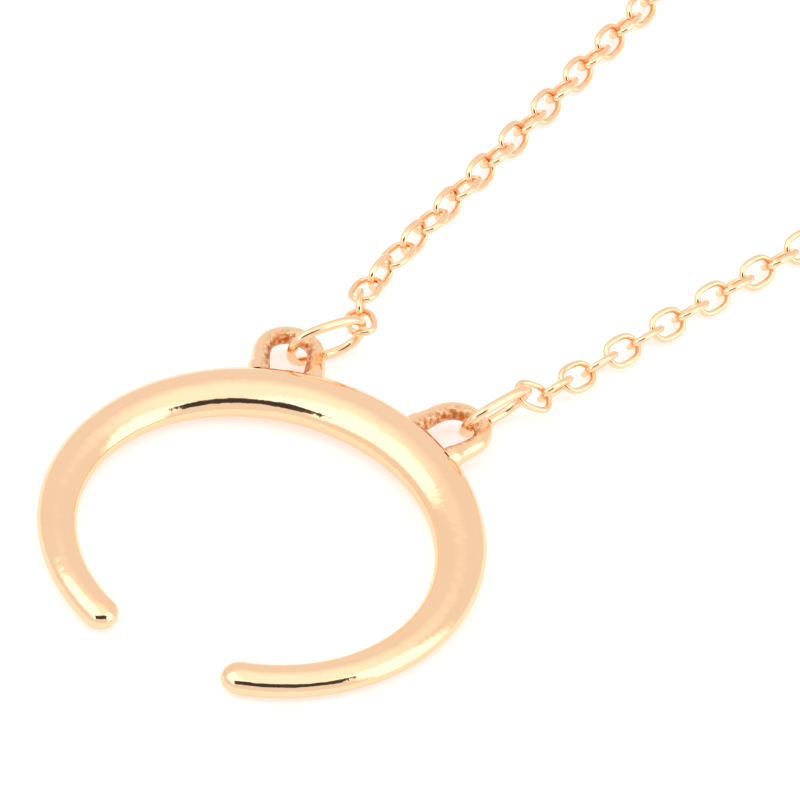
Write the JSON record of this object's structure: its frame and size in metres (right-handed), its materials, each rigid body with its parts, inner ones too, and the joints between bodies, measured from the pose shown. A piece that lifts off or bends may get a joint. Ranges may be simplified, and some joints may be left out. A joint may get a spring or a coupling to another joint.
{
  "type": "pendant necklace",
  "caption": "Necklace with an open crescent pendant held by two lugs and jump rings on an oval cable chain, with lobster clasp and extender, laid out open.",
  "frame": {"origin": "on the crescent's flat back, at the middle of its thick side, between the two lugs", "axes": "+Z out of the pendant's face, away from the surface it lies on; +Y from the crescent's gap to its lugs; +X to the right lug"},
  "size_m": [0.1254, 0.1994, 0.0035],
  "materials": {
    "polished_plating": "bright polished rose-gold plating over brass",
    "plated_wire": "bright rose-gold plating on drawn brass wire",
    "plated_pin": "rose-gold plated rivet",
    "spring_steel": "bare spring steel"
  },
  "bodies": {
    "pendant": {"crescent_pendant": "polished_plating"},
    "jump_ring_left": {"jump_ring_left": "plated_wire"},
    "chain_link_left_01": {"chain_link_left_01": "plated_wire"},
    "chain_link_left_02": {"chain_link_left_02": "plated_wire"},
    "chain_link_left_03": {"chain_link_left_03": "plated_wire"},
    "chain_link_left_04": {"chain_link_left_04": "plated_wire"},
    "chain_link_left_05": {"chain_link_left_05": "plated_wire"},
    "chain_link_left_06": {"chain_link_left_06": "plated_wire"},
    "chain_link_left_07": {"chain_link_left_07": "plated_wire"},
    "chain_link_left_08": {"chain_link_left_08": "plated_wire"},
    "chain_link_left_09": {"chain_link_left_09": "plated_wire"},
    "chain_link_left_10": {"chain_link_left_10": "plated_wire"},
    "chain_link_left_11": {"chain_link_left_11": "plated_wire"},
    "chain_link_left_12": {"chain_link_left_12": "plated_wire"},
    "chain_link_left_13": {"chain_link_left_13": "plated_wire"},
    "chain_link_left_14": {"chain_link_left_14": "plated_wire"},
    "chain_link_left_15": {"chain_link_left_15": "plated_wire"},
    "chain_link_left_16": {"chain_link_left_16": "plated_wire"},
    "chain_link_left_17": {"chain_link_left_17": "plated_wire"},
    "chain_link_left_18": {"chain_link_left_18": "plated_wire"},
    "chain_link_left_19": {"chain_link_left_19": "plated_wire"},
    "chain_link_left_20": {"chain_link_left_20": "plated_wire"},
    "chain_link_left_21": {"chain_link_left_21": "plated_wire"},
    "chain_section_left_1": {"chain_section_left_1": "plated_wire"},
    "chain_section_left_2": {"chain_section_left_2": "plated_wire"},
    "chain_section_left_3": {"chain_section_left_3": "plated_wire"},
    "chain_section_left_4": {"chain_section_left_4": "plated_wire"},
    "chain_section_left_5": {"chain_section_left_5": "plated_wire"},
    "chain_section_left_6": {"chain_section_left_6": "plated_wire"},
    "clasp_ring": {"clasp_ring": "plated_wire"},
    "clasp": {"clasp_body": "polished_plating", "clasp_pin": "plated_pin", "clasp_spring": "spring_steel"},
    "clasp_lever": {"clasp_lever": "polished_plating"},
    "jump_ring_right": {"jump_ring_right": "plated_wire"},
    "chain_link_right_01": {"chain_link_right_01": "plated_wire"},
    "chain_link_right_02": {"chain_link_right_02": "plated_wire"},
    "chain_link_right_03": {"chain_link_right_03": "plated_wire"},
    "chain_link_right_04": {"chain_link_right_04": "plated_wire"},
    "chain_link_right_05": {"chain_link_right_05": "plated_wire"},
    "chain_link_right_06": {"chain_link_right_06": "plated_wire"},
    "chain_link_right_07": {"chain_link_right_07": "plated_wire"},
    "chain_link_right_08": {"chain_link_right_08": "plated_wire"},
    "chain_link_right_09": {"chain_link_right_09": "plated_wire"},
    "chain_link_right_10": {"chain_link_right_10": "plated_wire"},
    "chain_link_right_11": {"chain_link_right_11": "plated_wire"},
    "chain_link_right_12": {"chain_link_right_12": "plated_wire"},
    "chain_link_right_13": {"chain_link_right_13": "plated_wire"},
    "chain_link_right_14": {"chain_link_right_14": "plated_wire"},
    "chain_section_right_1": {"chain_section_right_1": "plated_wire"},
    "chain_section_right_2": {"chain_section_right_2": "plated_wire"},
    "chain_section_right_3": {"chain_section_right_3": "plated_wire"},
    "chain_section_right_4": {"chain_section_right_4": "plated_wire"},
    "chain_section_right_5": {"chain_section_right_5": "plated_wire"},
    "chain_section_right_6": {"chain_section_right_6": "plated_wire"},
    "extender_ring": {"extender_ring": "plated_wire"},
    "extender_section_1": {"extender_section_1": "plated_wire"},
    "extender_section_2": {"extender_section_2": "plated_wire"},
    "extender_drop": {"extender_drop": "polished_plating"}
  },
  "joints": [
    {"name": "lug_swing_left", "type": "hinge", "parent": "pendant", "child": "jump_ring_left", "pos_m": [-0.00473, 0.00372, 0.00125], "axis": [-0.7771, 0.6293, 0], "range_deg": [-35, 35]},
    {"name": "link_left_01_swing", "type": "hinge", "parent": "jump_ring_left", "child": "chain_link_left_01", "pos_m": [-0.00292, 0.00644, 0.00198], "axis": [-0.0113, -0.2227, 0.9748], "range_deg": [-8, 8]},
    {"name": "link_left_02_swing", "type": "hinge", "parent": "chain_link_left_01", "child": "chain_link_left_02", "pos_m": [-0.00385, 0.00791, 0.00164], "axis": [0.8755, 0.4412, 0.197], "range_deg": [-41, 59]},
    {"name": "link_left_03_swing", "type": "hinge", "parent": "chain_link_left_02", "child": "chain_link_left_03", "pos_m": [-0.00462, 0.00968, 0.00112], "axis": [-0.258, 0.079, 0.9629], "range_deg": [-30, 70]},
    {"name": "link_left_04_swing", "type": "hinge", "parent": "chain_link_left_03", "child": "chain_link_left_04", "pos_m": [-0.00469, 0.01166, 0.00094], "axis": [-0.9624, 0.0289, -0.2701], "range_deg": [-47, 53]},
    {"name": "link_left_05_swing", "type": "hinge", "parent": "chain_link_left_04", "child": "chain_link_left_05", "pos_m": [-0.00463, 0.01366, 0.00092], "axis": [0.3098, 0.0048, -0.9508], "range_deg": [-52, 48]},
    {"name": "link_left_06_swing", "type": "hinge", "parent": "chain_link_left_05", "child": "chain_link_left_06", "pos_m": [-0.00451, 0.01566, 0.00097], "axis": [0.9314, -0.059, 0.3591], "range_deg": [-48, 52]},
    {"name": "link_left_07_swing", "type": "hinge", "parent": "chain_link_left_06", "child": "chain_link_left_07", "pos_m": [-0.00437, 0.01765, 0.00095], "axis": [-0.4051, 0.0455, 0.9131], "range_deg": [-50, 50]},
    {"name": "link_left_08_swing", "type": "hinge", "parent": "chain_link_left_07", "child": "chain_link_left_08", "pos_m": [-0.00423, 0.01965, 0.00091], "axis": [-0.8886, 0.0612, -0.4546], "range_deg": [-49, 51]},
    {"name": "link_left_09_swing", "type": "hinge", "parent": "chain_link_left_08", "child": "chain_link_left_09", "pos_m": [-0.00409, 0.02164, 0.00091], "axis": [0.4981, -0.0511, -0.8656], "range_deg": [-49, 51]},
    {"name": "link_left_10_swing", "type": "hinge", "parent": "chain_link_left_09", "child": "chain_link_left_10", "pos_m": [-0.00395, 0.02363, 0.00087], "axis": [0.8363, -0.0575, 0.5452], "range_deg": [-51, 49]},
    {"name": "link_left_11_swing", "type": "hinge", "parent": "chain_link_left_10", "child": "chain_link_left_11", "pos_m": [-0.0038, 0.02563, 0.00087], "axis": [-0.5855, 0.0589, 0.8085], "range_deg": [-51, 49]},
    {"name": "link_left_12_swing", "type": "hinge", "parent": "chain_link_left_11", "child": "chain_link_left_12", "pos_m": [-0.00366, 0.02762, 0.00082], "axis": [-0.7748, 0.053, -0.6299], "range_deg": [-49, 51]},
    {"name": "link_left_13_swing", "type": "hinge", "parent": "chain_link_left_12", "child": "chain_link_left_13", "pos_m": [-0.00352, 0.02962, 0.00082], "axis": [0.6674, -0.0544, -0.7427], "range_deg": [-49, 51]},
    {"name": "link_left_14_swing", "type": "hinge", "parent": "chain_link_left_13", "child": "chain_link_left_14", "pos_m": [-0.00338, 0.03161, 0.0008], "axis": [0.7055, -0.047, 0.7071], "range_deg": [-51, 49]},
    {"name": "link_left_15_swing", "type": "hinge", "parent": "chain_link_left_14", "child": "chain_link_left_15", "pos_m": [-0.00325, 0.03361, 0.0008], "axis": [-0.7056, 0.0469, 0.7071], "range_deg": [-50, 50]},
    {"name": "link_left_16_swing", "type": "hinge", "parent": "chain_link_left_15", "child": "chain_link_left_16", "pos_m": [-0.00312, 0.03561, 0.0008], "axis": [-0.7056, 0.0469, -0.7071], "range_deg": [-50, 50]},
    {"name": "link_left_17_swing", "type": "hinge", "parent": "chain_link_left_16", "child": "chain_link_left_17", "pos_m": [-0.00299, 0.0376, 0.0008], "axis": [0.7056, -0.0469, -0.7071], "range_deg": [-50, 50]},
    {"name": "link_left_18_swing", "type": "hinge", "parent": "chain_link_left_17", "child": "chain_link_left_18", "pos_m": [-0.00285, 0.0396, 0.0008], "axis": [0.7056, -0.0469, 0.7071], "range_deg": [-50, 50]},
    {"name": "link_left_19_swing", "type": "hinge", "parent": "chain_link_left_18", "child": "chain_link_left_19", "pos_m": [-0.00272, 0.04159, 0.0008], "axis": [-0.7056, 0.0469, 0.7071], "range_deg": [-50, 50]},
    {"name": "link_left_20_swing", "type": "hinge", "parent": "chain_link_left_19", "child": "chain_link_left_20", "pos_m": [-0.00259, 0.04359, 0.0008], "axis": [-0.7056, 0.0469, -0.7071], "range_deg": [-50, 50]},
    {"name": "link_left_21_swing", "type": "hinge", "parent": "chain_link_left_20", "child": "chain_link_left_21", "pos_m": [-0.00246, 0.04558, 0.0008], "axis": [0.7056, -0.0469, -0.7071], "range_deg": [-50, 50]},
    {"name": "section_left_1_swing", "type": "hinge", "parent": "chain_link_left_21", "child": "chain_section_left_1", "pos_m": [-0.00232, 0.04758, 0.0008], "axis": [0.7056, -0.0469, 0.7071], "range_deg": [-50, 50]},
    {"name": "section_left_2_swing", "type": "hinge", "parent": "chain_section_left_1", "child": "chain_section_left_2", "pos_m": [-0.00511, 0.07096, 0.00078], "axis": [-0.6094, -0.3606, -0.7061], "range_deg": [-46, 54]},
    {"name": "section_left_3_swing", "type": "hinge", "parent": "chain_section_left_2", "child": "chain_section_left_3", "pos_m": [-0.02416, 0.08451, 0.00081], "axis": [-0.2817, -0.6487, -0.707], "range_deg": [-52, 48]},
    {"name": "section_left_4_swing", "type": "hinge", "parent": "chain_section_left_3", "child": "chain_section_left_4", "pos_m": [-0.04419, 0.09751, 0.00081], "axis": [0.4834, 0.5163, 0.707], "range_deg": [-48, 52]},
    {"name": "section_left_5_swing", "type": "hinge", "parent": "chain_section_left_4", "child": "chain_section_left_5", "pos_m": [-0.05869, 0.11649, 0.00081], "axis": [0.6288, 0.3237, 0.707], "range_deg": [-48, 52]},
    {"name": "section_left_6_swing", "type": "hinge", "parent": "chain_section_left_5", "child": "chain_section_left_6", "pos_m": [-0.06596, 0.13924, 0.00081], "axis": [-0.701, -0.0935, -0.707], "range_deg": [-52, 48]},
    {"name": "clasp_ring_swing", "type": "hinge", "parent": "chain_section_left_6", "child": "clasp_ring", "pos_m": [-0.06549, 0.16301, 0.00159], "axis": [0.6654, -0.1473, 0.7318], "range_deg": [-32, 68]},
    {"name": "clasp_swing", "type": "hinge", "parent": "clasp_ring", "child": "clasp", "pos_m": [-0.06489, 0.16542, 0.00152], "axis": [0.6154, -0.1898, -0.765], "range_deg": [-34, 34]},
    {"name": "lever_press", "type": "hinge", "parent": "clasp", "child": "clasp_lever", "pos_m": [-0.06464, 0.1701, 0.00129], "axis": [0.0232, -0.0508, -0.9984], "range_deg": [0, 25]},
    {"name": "lug_swing_right", "type": "hinge", "parent": "pendant", "child": "jump_ring_right", "pos_m": [0.00663, 0.00386, 0.00125], "axis": [-0.8607, 0.509, 0], "range_deg": [-35, 35]},
    {"name": "link_right_01_swing", "type": "hinge", "parent": "jump_ring_right", "child": "chain_link_right_01", "pos_m": [0.00805, 0.0072, 0.00179], "axis": [0.3105, -0.1641, 0.9363], "range_deg": [-32, 108]},
    {"name": "link_right_02_swing", "type": "hinge", "parent": "chain_link_right_01", "child": "chain_link_right_02", "pos_m": [0.0089, 0.00852, 0.00119], "axis": [0.8038, -0.2597, -0.5352], "range_deg": [-57, 43]},
    {"name": "link_right_03_swing", "type": "hinge", "parent": "chain_link_right_02", "child": "chain_link_right_03", "pos_m": [0.00945, 0.01044, 0.00106], "axis": [-0.3975, 0.0366, -0.9169], "range_deg": [-53, 47]},
    {"name": "link_right_04_swing", "type": "hinge", "parent": "chain_link_right_03", "child": "chain_link_right_04", "pos_m": [0.01004, 0.01234, 0.00088], "axis": [-0.8538, 0.2741, 0.4425], "range_deg": [-44, 56]},
    {"name": "link_right_05_swing", "type": "hinge", "parent": "chain_link_right_04", "child": "chain_link_right_05", "pos_m": [0.01066, 0.01424, 0.00091], "axis": [0.4653, -0.141, 0.8738], "range_deg": [-49, 51]},
    {"name": "link_right_06_swing", "type": "hinge", "parent": "chain_link_right_05", "child": "chain_link_right_06", "pos_m": [0.01129, 0.01614, 0.00088], "axis": [0.8038, -0.2673, -0.5314], "range_deg": [-51, 49]},
    {"name": "link_right_07_swing", "type": "hinge", "parent": "chain_link_right_06", "child": "chain_link_right_07", "pos_m": [0.01192, 0.01804, 0.00087], "axis": [-0.5514, 0.1636, -0.818], "range_deg": [-51, 49]},
    {"name": "link_right_08_swing", "type": "hinge", "parent": "chain_link_right_07", "child": "chain_link_right_08", "pos_m": [0.01254, 0.01994, 0.00083], "axis": [-0.7467, 0.2481, 0.6172], "range_deg": [-49, 51]},
    {"name": "link_right_09_swing", "type": "hinge", "parent": "chain_link_right_08", "child": "chain_link_right_09", "pos_m": [0.01317, 0.02184, 0.00083], "axis": [0.6275, -0.196, 0.7535], "range_deg": [-49, 51]},
    {"name": "link_right_10_swing", "type": "hinge", "parent": "chain_link_right_09", "child": "chain_link_right_10", "pos_m": [0.0138, 0.02374, 0.0008], "axis": [0.6811, -0.2275, -0.696], "range_deg": [-51, 49]},
    {"name": "link_right_11_swing", "type": "hinge", "parent": "chain_link_right_10", "child": "chain_link_right_11", "pos_m": [0.01443, 0.02563, 0.0008], "axis": [-0.6706, 0.2244, -0.7071], "range_deg": [-50, 50]},
    {"name": "link_right_12_swing", "type": "hinge", "parent": "chain_link_right_11", "child": "chain_link_right_12", "pos_m": [0.01507, 0.02753, 0.0008], "axis": [-0.6706, 0.2244, 0.7071], "range_deg": [-50, 50]},
    {"name": "link_right_13_swing", "type": "hinge", "parent": "chain_link_right_12", "child": "chain_link_right_13", "pos_m": [0.0157, 0.02943, 0.0008], "axis": [0.6706, -0.2244, 0.7071], "range_deg": [-50, 50]},
    {"name": "link_right_14_swing", "type": "hinge", "parent": "chain_link_right_13", "child": "chain_link_right_14", "pos_m": [0.01634, 0.03132, 0.0008], "axis": [0.6706, -0.2244, -0.7071], "range_deg": [-50, 50]},
    {"name": "section_right_1_swing", "type": "hinge", "parent": "chain_link_right_14", "child": "chain_section_right_1", "pos_m": [0.01697, 0.03322, 0.0008], "axis": [-0.6706, 0.2244, -0.7071], "range_deg": [-50, 50]},
    {"name": "section_right_2_swing", "type": "hinge", "parent": "chain_section_right_1", "child": "chain_section_right_2", "pos_m": [0.03004, 0.05496, 0.00078], "axis": [-0.3823, 0.596, 0.7061], "range_deg": [-46, 54]},
    {"name": "section_right_3_swing", "type": "hinge", "parent": "chain_section_right_2", "child": "chain_section_right_3", "pos_m": [0.04954, 0.0717, 0.00079], "axis": [0.5922, -0.3869, 0.7068], "range_deg": [-52, 48]},
    {"name": "section_right_4_swing", "type": "hinge", "parent": "chain_section_right_3", "child": "chain_section_right_4", "pos_m": [0.05723, 0.09618, 0.00081], "axis": [0.7074, -0.0095, -0.7068], "range_deg": [-48, 52]},
    {"name": "section_right_5_swing", "type": "hinge", "parent": "chain_section_right_4", "child": "chain_section_right_5", "pos_m": [0.05061, 0.12096, 0.00079], "axis": [-0.6024, -0.3708, -0.7068], "range_deg": [-48, 52]},
    {"name": "section_right_6_swing", "type": "hinge", "parent": "chain_section_right_5", "child": "chain_section_right_6", "pos_m": [0.03175, 0.13835, 0.00081], "axis": [-0.3101, -0.6358, 0.7068], "range_deg": [-52, 48]},
    {"name": "extender_ring_swing", "type": "hinge", "parent": "chain_section_right_6", "child": "extender_ring", "pos_m": [0.00668, 0.14263, 0.00155], "axis": [-0.0822, 0.6682, 0.7395], "range_deg": [-37, 63]},
    {"name": "extender_1_swing", "type": "hinge", "parent": "extender_ring", "child": "extender_section_1", "pos_m": [0.00421, 0.14237, 0.0015], "axis": [-0.0308, 0.6431, -0.7651], "range_deg": [-41, 59]},
    {"name": "extender_2_swing", "type": "hinge", "parent": "extender_section_1", "child": "extender_section_2", "pos_m": [-0.01351, 0.13485, 0.00122], "axis": [-0.4254, 0.566, -0.7062], "range_deg": [-46, 54]},
    {"name": "drop_swing", "type": "hinge", "parent": "extender_section_2", "child": "extender_drop", "pos_m": [-0.0262, 0.12027, 0.00123], "axis": [-0.6335, 0.3171, -0.7058], "range_deg": [-50, 50]}
  ]
}
